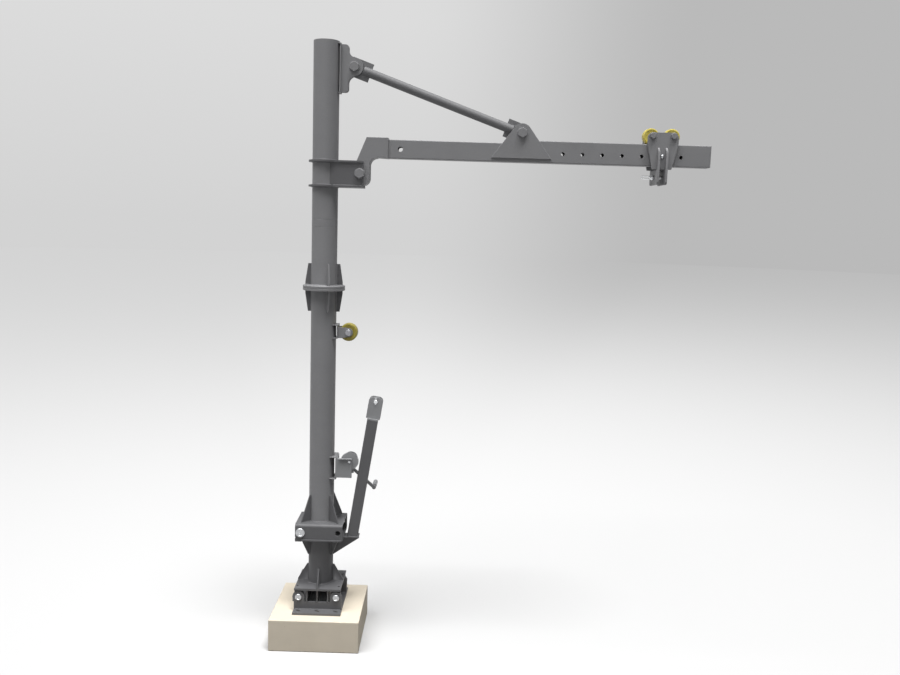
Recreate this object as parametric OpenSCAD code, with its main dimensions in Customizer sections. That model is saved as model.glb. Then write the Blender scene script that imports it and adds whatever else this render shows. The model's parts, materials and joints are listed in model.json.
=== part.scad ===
// Tilting and slewing davit on a concrete plinth.
// Millimetres. The origin is the centre of the plinth's underside, +Z is up
// and +X points along the arm. Heights named *_z are above the plinth's top.

/* [Plinth] */
// Side of the square plinth
plinth_w = 500; // [460:10:600]
// Height of the plinth
plinth_h = 180; // [150:10:600]

/* [Mast] */
// Outer diameter of the mast tubes
mast_d = 139.7; // [139.7]
// Wall of the mast tubes
mast_wall = 6.3; // [6:0.1:8]
// Height of the open top of the mast
mast_top_z = 3140; // [3100:10:3300]
// Joint between the two flanges
flange_z = 1824; // [1780:2:1860]
// Diameter of the flange pair
flange_d = 231; // [210:1:240]
// Thickness of one flange
flange_t = 14; // [12:1:16]
// Underside of the swivel ring
swivel_z = 2156; // [2130:2:2180]
// Height of the swivel ring
swivel_h = 41; // [30:1:50]

/* [Joints] */
// Half the distance between the pins of each pinned joint
pin_x = 106; // [100:1:108]
// Height of the foot pins
foot_pin_z = 82; // [80:1:84]
// Height of the tilting pin
tilt_pin_z = 455; // [450:1:456]
// Reach of the joint plates to the left of the mast's axis
joint_half = 130; // [128:1:134]
// Reach of the tilting joint's plates to the right of the mast's axis
joint_right = 135; // [132:1:140]

/* [Gin pole] */
// Side of the square tube
pole_w = 60; // [50:1:60]
// Lean of the pole away from the mast, in degrees
pole_lean = 8.6; // [6:0.1:9]
// Length of the square tube
pole_len = 686; // [600:2:720]

/* [Arm] */
// Underside of the arm
arm_z = 2534; // [2524:1:2540]
// Width of the arm's hollow sections
arm_w = 80; // [70:1:80]
// Height of the inner section
arm_h = 98; // [90:1:100]
// Height of the rail section
rail_h = 115; // [110:1:120]
// End of the rail
rail_end_x = 2075; // [2060:5:2100]
// Distance between the locking holes of the rail
hole_pitch = 105.7; // [100:0.1:108]
// Place of the first locking hole
first_hole_x = 1280; // [1270:1:1290]
// Number of locking holes
hole_count = 7; // [5:1:7]

/* [Winch] */
// Place of the drum's axis
drum_x = 161; // [156:1:161]
// Height of the drum's axis
drum_z = 853; // [850:1:856]
// Teeth on the drum's gear
gear_teeth = 50; // [50]
// Teeth on the crank's pinion
pinion_teeth = 14; // [14]
// Length of the crank from shaft to grip
crank_len = 184; // [160:2:190]

/* [Trolley] */
// Diameter of the trolley rollers
wheel_d = 86; // [80:1:88]
// Half the distance between the trolley rollers
wheel_dx = 56; // [54:1:60]

/* [Hidden] */

$fn = 64;

steel = "DimGray";
dark_steel = "#4A4A4C";
zinc = "Silver";
roller_yellow = "#B8A838";

fit = 0.05;          // radial play of a pin in its hole
gap = 0.3;           // play between faces of parts that turn on each other
weld_gap = 0.1;      // root gap of a welded seat
mast_r = mast_d / 2;
bore_r = mast_r - mast_wall;
swivel_top_z = swivel_z + swivel_h;
spigot_wall = 7;
spigot_below = 160;   // length of the spigot fixed in the tube below the ring
spigot_above = 230;   // length that the slewing tube turns on

// Joint plates
plate_t = 12;
web_t = 10;
foot_len_y = 360;
foot_shift = 3;       // the foot plate's middle, right of the mast's axis
foot_web_y = 112;     // inner face of the foot bracket's webs
foot_web_low = 55;    // height of the webs between their ears
ear_r = 34;
foot_plate_z = 122;   // underside of the stub's foot plate
foot_plate_front = 130;
foot_plate_back = 143;
hanging_ear_y = 99;   // inner face of the ears under the foot plate
rib_dx = 59;          // spacing of the ribs under the foot plate
rib_t = 8;
ear_hang_r = 25;      // radius of the ears under the foot plate
foot_hole = [117, 88]; // place of the levelling holes in the foot plate
foot_hole_r = 6;
foot_pin_r = 12;
slot_w = 14;          // the anchor slots in the bracket's base plate
slot_len = 32;
slot_dx = 105;
slot_y = 146;
slot_turn = 35;
head_plate_z = 408;   // underside of the stub's head plate
head_plate_t = 8;
head_plate_w = 244;
head_corner_r = 22;
head_lug_y = 90;      // inner face of the lugs on the head plate
head_lug_top = 480;
tilt_pin_x = -100;
tilt_far_x = 109;     // the right holes, left open so that the mast can tilt
tilt_pin_r = 15;
mast_plate_z = 490;   // underside of the mast's foot plate
mast_foot_w = 226;
mast_foot_bend = 16;   // outer radius of its bends
tilt_lug_r = 38.4;    // the mast's lugs turn past the head plate on this radius
corner_x = -94;       // the head plate's left corners end here behind blocks

// Gin pole
pole_base_z = 408;
pole_foot_x = 181;    // where the pole's axis meets its bracket
pole_wall = 5;
cheek_len = 124;
cheek_gap = 28;       // room for a pulley between the cheeks
cheek_t = 8;
pole_pin_along = pole_len + 108;
pole_pin_r = 11;

// Arm
right_root_x = 243;   // right side of the root's lower leg
arm_root_x = 342;     // where the cranked root ends and the inner section starts
splice_x = 1040;      // where the inner section meets the rail
arm_wall = 5;
arm_eye_x = 407;      // the anchor eye near the arm's root
arm_eye_r = 13.5;
lock_hole_r = 10;
end_cap_t = 8;
arm_mid_z = arm_z + arm_h / 2;
collar_low_z = 2372;
collar_high_z = 2504;
collar_t = 10;
collar_end_x = 211;
collar_cheek_y = 52;  // inner face of the collar's cheeks
arm_pin_x = 193;
arm_pin_z = 2447;
arm_pin_r = 15;
root_w = 2 * collar_cheek_y - 4;
root_left_x = 165;    // left side of the root's lobe, inside the collar
root_shoulder_x = 226;
root_rise = 107;      // height of the root's top above the arm's underside
root_wall = 8;
arm_tie_left = 895;   // ends of the lower tie bracket's base
arm_tie_right = 1219;
arm_tie_rise = 19;    // height of that base above the arm's underside
arm_tie_r = 50;
arm_tie_x = 1058;
arm_tie_z = 2688;
mast_tie_x = 151;
mast_tie_z = 3009;
tongue_t = 12;
tongue_w = 100;
tongue_back = 25;     // the upper tongue beyond its pin
tongue_end_r = 36;    // rounding of the lower tongue, which clears the rail
tongue_corner = 18;   // the lower tongue's square upper corner, beyond its pin
tongue_front = 92;    // tongue towards the rod
rod_d = 48.3;
tie_angle = atan2(mast_tie_z - arm_tie_z, arm_tie_x - mast_tie_x);
tie_len = norm([mast_tie_z - arm_tie_z, arm_tie_x - mast_tie_x]);

// Saddle brackets on the mast
saddle_x = 87;        // outer face of the winch saddle's back plate
roller_saddle_x = 84; // outer face of the guide roller's back plate
tie_saddle_x = 80;    // outer face of the upper tie bracket's back plate
saddle_t = 5;

// Winch
winch_side_y = 46;    // inner face of the winch's side plates
winch_side_t = 5;
drum_axle_r = 7;
crank_r = 8;
crank_angle = 41.2;   // below the horizontal
crank_y = 76;         // inner face of the crank's arm
winch_low = 759;
winch_top = 871;
winch_lug_w = 41;
winch_back_top = 840;  // the back side plate is lower, with a lug round the axle
winch_out = 175;      // right end of the side plates
tooth_module = 2;
gear_y = -35;         // inner face of the drum's gear
gear_t = 6;
mesh_angle = -98;     // direction from the drum's axis to the crank's axis
mesh_len = tooth_module * (gear_teeth + pinion_teeth) / 2;
crank_x = drum_x + mesh_len * cos(mesh_angle);
crank_z = drum_z + mesh_len * sin(mesh_angle);

// Guide roller
guide_x = 142;
guide_z = 1581;
guide_d = 98;
guide_w = 54;
guide_axle_r = 10;

// Trolley
trolley_x = first_hole_x + 5 * hole_pitch;
rail_top_z = arm_z + rail_h;
wheel_z = rail_top_z + wheel_d / 2 + gap;
wheel_w = 44;
trolley_plate_y = 56; // inner face of the side plates
trolley_plate_t = 8;
trolley_axle_r = 10;
hanger_dx = 21.5;
hanger_t = 12;
hanger_pin_z = 2475;
hanger_pin_r = 8;

// ---- helpers ----

module at_z(z) { translate([0, 0, plinth_h + z]) children(); }

// A plate lying in the XZ plane, its 2-D shape given as (x, height), from y0 to y1.
module upright(y0, y1) {
    translate([0, y1, plinth_h]) rotate([90, 0, 0]) linear_extrude(y1 - y0) children();
}

// A shaft or hole along Y.
module along_y(x, z, r, y0, y1) {
    upright(y0, y1) translate([x, z]) circle(r);
}

// A hexagon along Y, measured across its flats.
module hex_y(x, z, flats, y0, y1) {
    upright(y0, y1) translate([x, z]) circle(d = flats / cos(30), $fn = 6);
}

module tube(r_out, r_in, z0, z1) {
    at_z(z0) difference() {
        cylinder(r = r_out, h = z1 - z0);
        translate([0, 0, -1]) cylinder(r = r_in, h = z1 - z0 + 2);
    }
}

// A triangular gusset that stands on a plate at z0 and leans on the mast.
// A negative height hangs it under the plate.
module gusset(angle, reach, height, z0, t = 8, nose = 8) {
    foot = sign(height) * nose;
    rotate([0, 0, angle]) upright(-t / 2, t / 2) translate([0, z0])
        polygon([[mast_r + weld_gap, 0], [reach, 0], [reach, foot],
                 [mast_r + nose, height], [mast_r + weld_gap, height]]);
}

// A clevis or joint bolt along Y with a round zinc-plated head at the front.
module headed_pin(x, z, r, half, head_r, head_t) {
    along_y(x, z, r, -half, half + head_t);
    along_y(x, z, head_r, -half - head_t, -half);
    along_y(x, z, head_r * 0.8, half + gap, half + head_t - 2);
}

// A hexagon bolt along Y with washers and a nut.
module hex_bolt(x, z, r, half, flats) {
    along_y(x, z, r, -half, half + 26);
    along_y(x, z, flats * 0.6, -half - 4, -half);
    hex_y(x, z, flats, -half - 4 - r * 0.9, -half - 4);
    along_y(x, z, flats * 0.6, half, half + 4);
    hex_y(x, z, flats, half + 4, half + 22);
}

// The point where a line from p touches a circle at c on its left or right.
function tangent_point(p, c, r, side) =
    let (d = c - p, dist = norm(d), turn = acos(r / dist),
         base = atan2(-d[1], -d[0]) + side * turn)
    c + r * [cos(base), sin(base)];

// A plate outline that narrows from a straight base to a round end.
module round_end_plate(x0, x1, z0, cx, cz, r) {
    left = tangent_point([x0, z0], [cx, cz], r, -1);
    right = tangent_point([x1, z0], [cx, cz], r, 1);
    polygon([[x0, z0], [x1, z0], right, left]);
    translate([cx, cz]) circle(r);
}

// A lug plate: a strip with rounded corners up to edge_x, an eye round the pin and
// a hollow fillet between them, above and below.
module eye_lug(x0, edge_x, z0, z1, corner, cx, cz, r, fillet) {
    rise = sqrt(pow(r + fillet, 2) - pow(edge_x + fillet - cx, 2));
    touch = [cx + r * (edge_x + fillet - cx) / (r + fillet), r * rise / (r + fillet)];
    translate([x0, z0]) square([edge_x - corner - x0, z1 - z0]);
    translate([x0, z0 + corner]) square([edge_x - x0, z1 - z0 - 2 * corner]);
    for (z = [z0 + corner, z1 - corner]) translate([edge_x - corner, z]) circle(corner);
    translate([cx, cz]) circle(r);
    for (side = [-1, 1]) difference() {
        polygon([[x0, cz], [x0, cz + side * rise], [edge_x, cz + side * rise],
                 [touch[0], cz + side * touch[1]], [touch[0], cz]]);
        translate([edge_x + fillet, cz + side * rise]) circle(fillet);
    }
}

// A lug plate that tapers from a straight base to an eye on its right.
module tapered_lug(x0, edge_x, z0, z1, cx, cz, r) {
    low = tangent_point([edge_x, z0], [cx, cz], r, 1);
    high = tangent_point([edge_x, z1], [cx, cz], r, -1);
    polygon([[x0, z0], [edge_x, z0], low, high, [edge_x, z1], [x0, z1]]);
    translate([cx, cz]) circle(r);
}

// A back plate with a top and bottom ledge that seat on the mast.
module saddle(face_x, z0, z1, width) {
    at_z(0) difference() {
        union() {
            translate([face_x - saddle_t, -width / 2, z0]) cube([saddle_t, width, z1 - z0]);
            for (z = [z0, z1 - saddle_t])
                translate([mast_r * 0.55, -width / 2, z])
                    cube([face_x - mast_r * 0.55, width, saddle_t]);
        }
        translate([0, 0, z0 - 1]) cylinder(r = mast_r + weld_gap, h = z1 - z0 + 2);
    }
}

// ---- plinth and foot ----

module plinth() {
    color("#D8D0B8") translate([-plinth_w / 2, -plinth_w / 2, 0])
        cube([plinth_w, plinth_w, plinth_h]);
}

module slot_hole() {
    for (dx = [-1, 1] * (slot_len - slot_w) / 2)
        translate([dx, 0, -1]) cylinder(d = slot_w, h = plate_t + 2);
    translate([-(slot_len - slot_w) / 2, -slot_w / 2, -1])
        cube([slot_len - slot_w, slot_w, plate_t + 2]);
}

module foot_bracket() {
    color(steel) {
        at_z(0) difference() {
            translate([foot_shift - joint_half - 5, -foot_len_y / 2, 0])
                cube([2 * joint_half + 10, foot_len_y, plate_t]);
            for (x = [-1, 0, 1] * slot_dx, side = [0, 1]) mirror([0, side, 0])
                translate([foot_shift + x, -slot_y, 0]) rotate(-slot_turn) slot_hole();
        }
        for (side = [0, 1]) mirror([0, side, 0])
            upright(foot_web_y, foot_web_y + plate_t) difference() {
                union() {
                    translate([foot_shift - joint_half - 5, plate_t])
                        square([2 * joint_half + 10, foot_web_low - plate_t]);
                    for (x = [-1, 1] * pin_x) {
                        translate([x, foot_pin_z]) circle(ear_r);
                        translate([x - ear_r + 1, foot_web_low])
                            square([2 * ear_r - 2, foot_pin_z - foot_web_low]);
                    }
                }
                for (x = [-1, 1] * pin_x) translate([x, foot_pin_z]) circle(foot_pin_r + fit);
            }
    }
}

module foot_pin(side) {
    color(zinc) headed_pin(side * pin_x, foot_pin_z, foot_pin_r, foot_web_y + plate_t, 18.5, 8);
}

// A rib across the underside of the foot plate, down to the height low.
module rib(x, half_len, low) {
    at_z(low) translate([x - rib_t / 2, -half_len, 0])
        cube([rib_t, 2 * half_len, foot_plate_z - low]);
}

module stub_foot() {
    color(steel) {
        at_z(foot_plate_z) difference() {
            translate([-joint_half, -foot_plate_front, 0])
                cube([2 * joint_half, foot_plate_front + foot_plate_back, plate_t]);
            for (x = [-1, 1] * foot_hole[0], y = [-1, 1] * foot_hole[1])
                translate([x, y, -1]) cylinder(r = foot_hole_r, h = plate_t + 2);
        }
        for (side = [0, 1], x = [-1, 1] * pin_x) mirror([0, side, 0])
            upright(hanging_ear_y, hanging_ear_y + plate_t) difference() {
                union() {
                    translate([x, foot_pin_z]) circle(ear_hang_r);
                    translate([x - ear_hang_r, foot_pin_z])
                        square([2 * ear_hang_r, foot_plate_z - foot_pin_z]);
                }
                translate([x, foot_pin_z]) circle(foot_pin_r + fit);
            }
        for (x = [-1, 0, 1] * rib_dx) {
            rib(x, hanging_ear_y + 8, foot_web_low - 10);
            rib(x, foot_plate_front - 3, foot_web_low + 2);
        }
        for (angle = [0, 90, 180, 270])
            gusset(angle, joint_half, 97, foot_plate_z + plate_t);
    }
}

module stub_tube() {
    color(steel) tube(mast_r, bore_r, foot_plate_z + plate_t, head_plate_z);
}

// A lug plate over the tilting joint's length with its top corners rounded.
module round_lug(z0, z1, r) {
    translate([-joint_half, z0]) square([joint_half + joint_right, z1 - r - z0]);
    translate([r - joint_half, z0]) square([joint_half + joint_right - 2 * r, z1 - z0]);
    for (x = [r - joint_half, joint_right - r]) translate([x, z1 - r]) circle(r);
}

// The head plate in plan, with its right corners rounded.
module head_plate_outline(r) {
    half_w = head_plate_w / 2;
    translate([corner_x, -half_w]) square([joint_right - r - corner_x, head_plate_w]);
    translate([corner_x, r - half_w]) square([joint_right - corner_x, head_plate_w - 2 * r]);
    for (y = [-1, 1] * (half_w - r)) translate([joint_right - r, y]) circle(r);
}

module stub_head() {
    plate_top = head_plate_z + head_plate_t;
    web_in = mast_foot_w / 2 - web_t;
    color(steel) {
        at_z(head_plate_z) {
            linear_extrude(head_plate_t) head_plate_outline(head_corner_r);
            translate([-joint_half, -web_in, 0])
                cube([corner_x + joint_half + 1, 2 * web_in, head_plate_t]);
        }
        for (side = [0, 1]) mirror([0, side, 0]) {
            upright(head_lug_y, head_lug_y + plate_t) difference() {
                round_lug(plate_top, head_lug_top, 20);
                for (x = [tilt_pin_x, tilt_far_x]) translate([x, tilt_pin_z])
                    circle(tilt_pin_r + fit);
            }
            upright(web_in - 1, mast_foot_w / 2) difference() {
                translate([-joint_half, head_plate_z - 6])
                    square([corner_x + joint_half + 1, 18]);
                translate([tilt_pin_x, tilt_pin_z]) circle(tilt_lug_r + 1.6);
            }
        }
        for (angle = [28, 152, 208, 332]) gusset(angle, 122, -106, head_plate_z);
    }
}

// ---- gin pole ----

module pole_bracket() {
    top = head_plate_z - weld_gap;
    low = top - 8;
    seat_x = 112;
    end_x = 218;
    half_w = 33;
    color(dark_steel) {
        at_z(low) translate([seat_x, -half_w, 0]) cube([end_x - seat_x, 2 * half_w, top - low]);
        upright(-5, 5)
            polygon([[mast_r + weld_gap, head_plate_z - 118], [end_x, low - 8], [end_x, low + 1],
                     [seat_x, low + 1], [seat_x, top], [mast_r + weld_gap, top]]);
    }
}

// Stands its children on the pole's foot, with +Z along the pole.
module along_pole() {
    translate([pole_foot_x, 0, plinth_h + pole_base_z]) rotate([0, pole_lean, 0]) children();
}

module gin_pole() {
    color(dark_steel) difference() {
        along_pole() difference() {
            translate([-pole_w / 2, -pole_w / 2, -20]) cube([pole_w, pole_w, pole_len + 20]);
            translate([pole_wall - pole_w / 2, pole_wall - pole_w / 2, -21])
                cube([pole_w - 2 * pole_wall, pole_w - 2 * pole_wall, pole_len + 30]);
        }
        at_z(pole_base_z - 60) translate([0, -pole_w, 0]) cube([300, 2 * pole_w, 60]);
    }
}

module pole_clevis() {
    w = 78;
    r = 24;
    z0 = pole_len + 9;
    color("#8A8C8E") along_pole() {
        for (side = [0, 1]) mirror([0, side, 0])
            translate([0, cheek_gap / 2 + cheek_t, 0]) rotate([90, 0, 0])
                linear_extrude(cheek_t) difference() {
                    union() {
                        translate([-w / 2, z0]) square([w, cheek_len - r]);
                        translate([-w / 2 + r, z0]) square([w - 2 * r, cheek_len]);
                        for (x = [-1, 1] * (w / 2 - r))
                            translate([x, z0 + cheek_len - r]) circle(r);
                    }
                    translate([0, pole_pin_along]) circle(pole_pin_r + fit);
                }
        translate([-pole_w / 2, -pole_w / 2, pole_len + weld_gap])
            cube([pole_w, pole_w, 10 - weld_gap]);
    }
}

module pole_pin() {
    half = cheek_gap / 2 + cheek_t;
    color(zinc) along_pole() translate([0, 0, pole_pin_along]) rotate([90, 0, 0]) {
        translate([0, 0, -half - 10]) cylinder(r = pole_pin_r, h = 2 * half + 10);
        translate([0, 0, half]) cylinder(r = pole_pin_r + 2, h = 4);
    }
}

// ---- tilting joint and mast ----

module tilt_pin() {
    color(zinc) headed_pin(tilt_pin_x, tilt_pin_z, tilt_pin_r, mast_foot_w / 2, 25.5, 8);
}

// The profile, across the mast, of a channel bent from plate with its legs down.
module bent_channel(width, top, low, t, r) {
    difference() {
        union() {
            translate([-width / 2, low]) square([width, top - r - low]);
            translate([-width / 2 + r, low]) square([width - 2 * r, top - low]);
            for (y = [-1, 1] * (width / 2 - r)) translate([y, top - r]) circle(r);
        }
        translate([-width / 2 + t, low - 1]) square([width - 2 * t, top - t - low + 1]);
    }
}

module mast_foot() {
    low = head_plate_z + head_plate_t + 0.5;
    length = joint_half + joint_right;
    color(steel) {
        difference() {
            translate([-joint_half, 0, plinth_h]) rotate([90, 0, 90])
                linear_extrude(length)
                    bent_channel(mast_foot_w, mast_plate_z + plate_t, low, web_t, mast_foot_bend);
            for (x = [tilt_pin_x, tilt_far_x])
                along_y(x, tilt_pin_z, tilt_pin_r + fit, -mast_foot_w, mast_foot_w);
            upright(-mast_foot_w, mast_foot_w) difference() {
                translate([-joint_half - 5, low - 5])
                    square([joint_half + 5 + tilt_pin_x, tilt_pin_z - low + 5]);
                translate([tilt_pin_x, tilt_pin_z]) circle(tilt_lug_r);
            }
        }
        for (side = [-1, 1]) {
            gusset(side * 40, joint_right + 3, 150, mast_plate_z + plate_t);
            gusset(side * 140, joint_half, 150, mast_plate_z + plate_t);
        }
    }
}

module lower_mast_tube() {
    color(steel) tube(mast_r, bore_r, mast_plate_z + plate_t, flange_z - 2);
}

flange_gussets = [0, 65, 180, 295];
flange_gusset = [103, 118, 18];   // reach, height and width at the tip

module lower_flange() {
    color(steel) {
        tube(flange_d / 2, mast_r + weld_gap, flange_z - flange_t, flange_z);
        for (angle = flange_gussets)
            gusset(angle, flange_gusset[0], -flange_gusset[1], flange_z - flange_t,
                   nose = flange_gusset[2]);
    }
}

module upper_flange() {
    color(steel) {
        tube(flange_d / 2, mast_r + weld_gap, flange_z, flange_z + flange_t);
        for (angle = flange_gussets)
            gusset(angle, flange_gusset[0], flange_gusset[1], flange_z + flange_t,
                   nose = flange_gusset[2]);
    }
}

module middle_mast_tube() {
    color(steel) tube(mast_r, bore_r, flange_z + 2, swivel_z);
}

module swivel_ring() {
    color(steel) tube(mast_r, bore_r + weld_gap, swivel_z, swivel_top_z - gap);
}

module swivel_spigot() {
    color(zinc) tube(bore_r - fit, bore_r - spigot_wall,
                     swivel_z - spigot_below, swivel_top_z + spigot_above);
}

// ---- guide roller ----

module roller_bracket() {
    z0 = guide_z - 35;
    z1 = guide_z + 42;
    inner = guide_w / 2 + 3;
    color(steel) {
        saddle(roller_saddle_x, z0, z1, 90);
        for (side = [0, 1]) mirror([0, side, 0])
            upright(inner, inner + 6) difference() {
                tapered_lug(roller_saddle_x - 1, 105, z0 + 3, z1 - 14, guide_x, guide_z, 25);
                translate([guide_x, guide_z]) circle(guide_axle_r + fit);
            }
    }
}

module roller_axle() {
    half = guide_w / 2 + 9;
    color(zinc) hex_bolt(guide_x, guide_z, guide_axle_r, half, 30);
}

module guide_roller() {
    color(roller_yellow) difference() {
        along_y(guide_x, guide_z, guide_d / 2, -guide_w / 2, guide_w / 2);
        along_y(guide_x, guide_z, guide_axle_r + fit, -guide_w, guide_w);
    }
}

// ---- winch ----

module winch_bracket() {
    color(steel) saddle(saddle_x, winch_low - 11, winch_top + 6, 104);
}

module winch_frame() {
    x0 = saddle_x + weld_gap;
    out_y = winch_side_y + winch_side_t;
    color("#6E7072") difference() {
        union() {
            at_z(winch_low) translate([x0, -out_y, 0]) cube([4, 2 * out_y, winch_top - winch_low]);
            upright(-out_y, -winch_side_y) translate([x0, winch_low])
                square([winch_out - x0, winch_top - winch_low]);
            at_z(winch_top - 4) translate([x0 + 12, -winch_side_y - 17, 0])
                cube([winch_out - x0 - 12, 17, 4]);
            upright(winch_side_y, out_y) {
                translate([x0, winch_low])
                    square([winch_out - x0, winch_back_top - winch_low]);
                translate([drum_x - 27, winch_back_top - 1])
                    square([winch_lug_w, drum_z - winch_back_top + 1]);
                translate([drum_x - 27 + winch_lug_w / 2, drum_z]) circle(winch_lug_w / 2);
            }
            along_y(crank_x, crank_z, 15, out_y - 1, crank_y - 4);
        }
        along_y(drum_x, drum_z, drum_axle_r + fit, -out_y - 1, out_y + 1);
        along_y(crank_x, crank_z, crank_r + fit, -out_y + 1.5, crank_y);
    }
}

// The angle, in degrees, that an involute of the base circle has unwound at radius r.
function unwound(r, base) = let (a = acos(base / r)) tan(a) * 180 / PI - a;

// The outline of a spur gear with stub teeth, one tooth pointing along +X.
module spur_gear(teeth) {
    pitch_r = tooth_module * teeth / 2;
    base_r = pitch_r * cos(20);
    root_r = pitch_r - tooth_module;
    tip_r = pitch_r + 0.75 * tooth_module;
    play = 0.15;      // taken off each flank at the pitch circle
    half = 90 / teeth - play / pitch_r * 180 / PI + unwound(pitch_r, base_r);
    flank = [for (i = [0 : 3]) let (r = max(base_r, root_r) * (1 - i / 3) + tip_r * i / 3)
             [r, half - unwound(r, base_r)]];
    side = concat([[root_r, flank[0][1]]], root_r < base_r ? flank : [for (i = [1 : 3]) flank[i]]);
    last = len(side) - 1;
    polygon([for (t = [0 : teeth - 1]) for (k = [0 : 2 * last + 1])
             let (p = side[k <= last ? k : 2 * last + 1 - k],
                  a = t * 360 / teeth + (k <= last ? -p[1] : p[1]))
             p[0] * [cos(a), sin(a)]]);
}

module winch_gear() {
    color("#707274") difference() {
        upright(gear_y - gear_t, gear_y) translate([drum_x, drum_z]) rotate(mesh_angle)
            spur_gear(gear_teeth);
        along_y(drum_x, drum_z, drum_axle_r + fit, gear_y - gear_t - 1, gear_y + 1);
    }
}

module winch_drum() {
    far = winch_side_y - 5;
    color("#707274") {
        along_y(drum_x, drum_z, 20, gear_y + weld_gap, far);
        along_y(drum_x, drum_z, 36, far - 4, far);
        along_y(drum_x, drum_z, drum_axle_r, -winch_side_y - 10, winch_side_y + 10);
    }
}

module winch_crank() {
    tip_x = crank_x + crank_len * cos(crank_angle);
    tip_z = crank_z - crank_len * sin(crank_angle);
    color("#8A8C8E") {
        along_y(crank_x, crank_z, crank_r, -winch_side_y - 3, crank_y + 10);
        upright(gear_y - gear_t, gear_y) translate([crank_x, crank_z])
            rotate(mesh_angle + 180 + 180 / pinion_teeth) spur_gear(pinion_teeth);
        along_y(crank_x, crank_z, 16, crank_y, crank_y + 10);
        translate([crank_x, crank_y, plinth_h + crank_z]) rotate([0, crank_angle, 0])
            translate([0, 0, -9]) cube([crank_len, 8, 18]);
        along_y(tip_x, tip_z, 12, crank_y, crank_y + 10);
        along_y(tip_x, tip_z, 6, crank_y + 10, crank_y + 40);
        along_y(tip_x, tip_z, 12, crank_y + 36, crank_y + 112);
    }
}

// ---- slewing mast and arm ----

module upper_mast_tube() {
    color(steel) tube(mast_r, bore_r, swivel_top_z, mast_top_z);
}

module arm_collar() {
    ring_r = mast_r + 20;
    half_w = collar_cheek_y + plate_t + 6;
    color(steel) {
        for (z = [collar_low_z, collar_high_z])
            at_z(z) difference() {
                union() {
                    cylinder(r = ring_r, h = collar_t);
                    translate([0, -half_w, 0]) cube([collar_end_x, 2 * half_w, collar_t]);
                }
                translate([0, 0, -1]) cylinder(r = mast_r + weld_gap, h = collar_t + 2);
                if (z == collar_high_z)
                    translate([155, -root_w / 2 - 1, -1]) cube([80, root_w + 2, collar_t + 2]);
            }
        for (side = [0, 1]) mirror([0, side, 0]) difference() {
            upright(collar_cheek_y, collar_cheek_y + web_t) difference() {
                translate([20, collar_low_z + collar_t])
                    square([collar_end_x - 20, collar_high_z - collar_low_z - collar_t]);
                translate([arm_pin_x, arm_pin_z]) circle(arm_pin_r + fit);
            }
            at_z(collar_low_z) cylinder(r = mast_r + weld_gap, h = 160);
        }
    }
}

module arm_pin() {
    color(steel) hex_bolt(arm_pin_x, arm_pin_z, arm_pin_r, collar_cheek_y + web_t, 48);
}

// The cranked root: a lobe round the arm pin, rising to the arm.
module root_outline() {
    right_x = right_root_x;
    lobe_r = 40;
    neck_r = 40;
    low_z = collar_low_z + collar_t + 2;
    top_z = arm_z + root_rise;
    difference() {
        union() {
            polygon([[root_left_x, low_z + lobe_r], [right_x, low_z + lobe_r],
                     [right_x, arm_z + 5], [arm_root_x, arm_z], [arm_root_x, top_z],
                     [root_shoulder_x, top_z], [root_left_x + 7, collar_high_z + 6]]);
            translate([right_x - lobe_r, low_z + lobe_r]) circle(lobe_r);
            translate([root_left_x, low_z])
                square([right_x - lobe_r - root_left_x, lobe_r + 1]);
            translate([right_x, arm_z - neck_r]) square([neck_r, neck_r + 6]);
        }
        translate([right_x + neck_r, arm_z - neck_r]) circle(neck_r);
    }
}

// The hollow inside the root's welded plates.
module root_hollow() {
    low_z = collar_high_z - 20;
    top_z = arm_z + root_rise - root_wall;
    right_x = right_root_x - root_wall;
    end_x = arm_root_x - root_wall;
    polygon([[root_left_x + 19, low_z], [right_x, low_z], [right_x, arm_z + root_wall],
             [end_x, arm_z + root_wall], [end_x, top_z], [root_shoulder_x + 6, top_z]]);
}

module arm_root() {
    color(steel) difference() {
        upright(-root_w / 2, root_w / 2) root_outline();
        upright(root_wall - root_w / 2, root_w / 2 - root_wall) root_hollow();
        along_y(arm_pin_x, arm_pin_z, arm_pin_r + fit, -root_w, root_w);
    }
}

// A rectangular hollow section along X.
module hollow_section(x0, x1, height) {
    at_z(arm_z) difference() {
        translate([x0, -arm_w / 2, 0]) cube([x1 - x0, arm_w, height]);
        translate([x0 - 1, -arm_w / 2 + arm_wall, arm_wall])
            cube([x1 - x0 + 2, arm_w - 2 * arm_wall, height - 2 * arm_wall]);
    }
}

module arm_inner_section() {
    color(steel) difference() {
        hollow_section(arm_root_x + weld_gap, splice_x - weld_gap, arm_h);
        along_y(arm_eye_x, arm_mid_z, arm_eye_r, -arm_w, arm_w);
    }
}

module arm_rail() {
    color(steel) difference() {
        hollow_section(splice_x, rail_end_x - end_cap_t - weld_gap, rail_h);
        for (i = [0 : hole_count - 1])
            along_y(first_hole_x + i * hole_pitch, arm_mid_z, lock_hole_r, -arm_w, arm_w);
    }
}

module rail_end_cap() {
    color(steel) at_z(arm_z) translate([rail_end_x - end_cap_t, -arm_w / 2, 0])
        cube([end_cap_t, arm_w, rail_h]);
}

module arm_tie_bracket() {
    inner = arm_w / 2 + weld_gap;
    color(steel) for (side = [0, 1]) mirror([0, side, 0])
        upright(inner, inner + 8) difference() {
            round_end_plate(arm_tie_left, arm_tie_right, arm_z + arm_tie_rise,
                            arm_tie_x, arm_tie_z, arm_tie_r);
            translate([arm_tie_x, arm_tie_z]) circle(arm_pin_r + fit);
        }
}

module arm_tie_pin() {
    color(steel) hex_bolt(arm_tie_x, arm_tie_z, arm_pin_r, arm_w / 2 + weld_gap + 8, 46);
}

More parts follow.
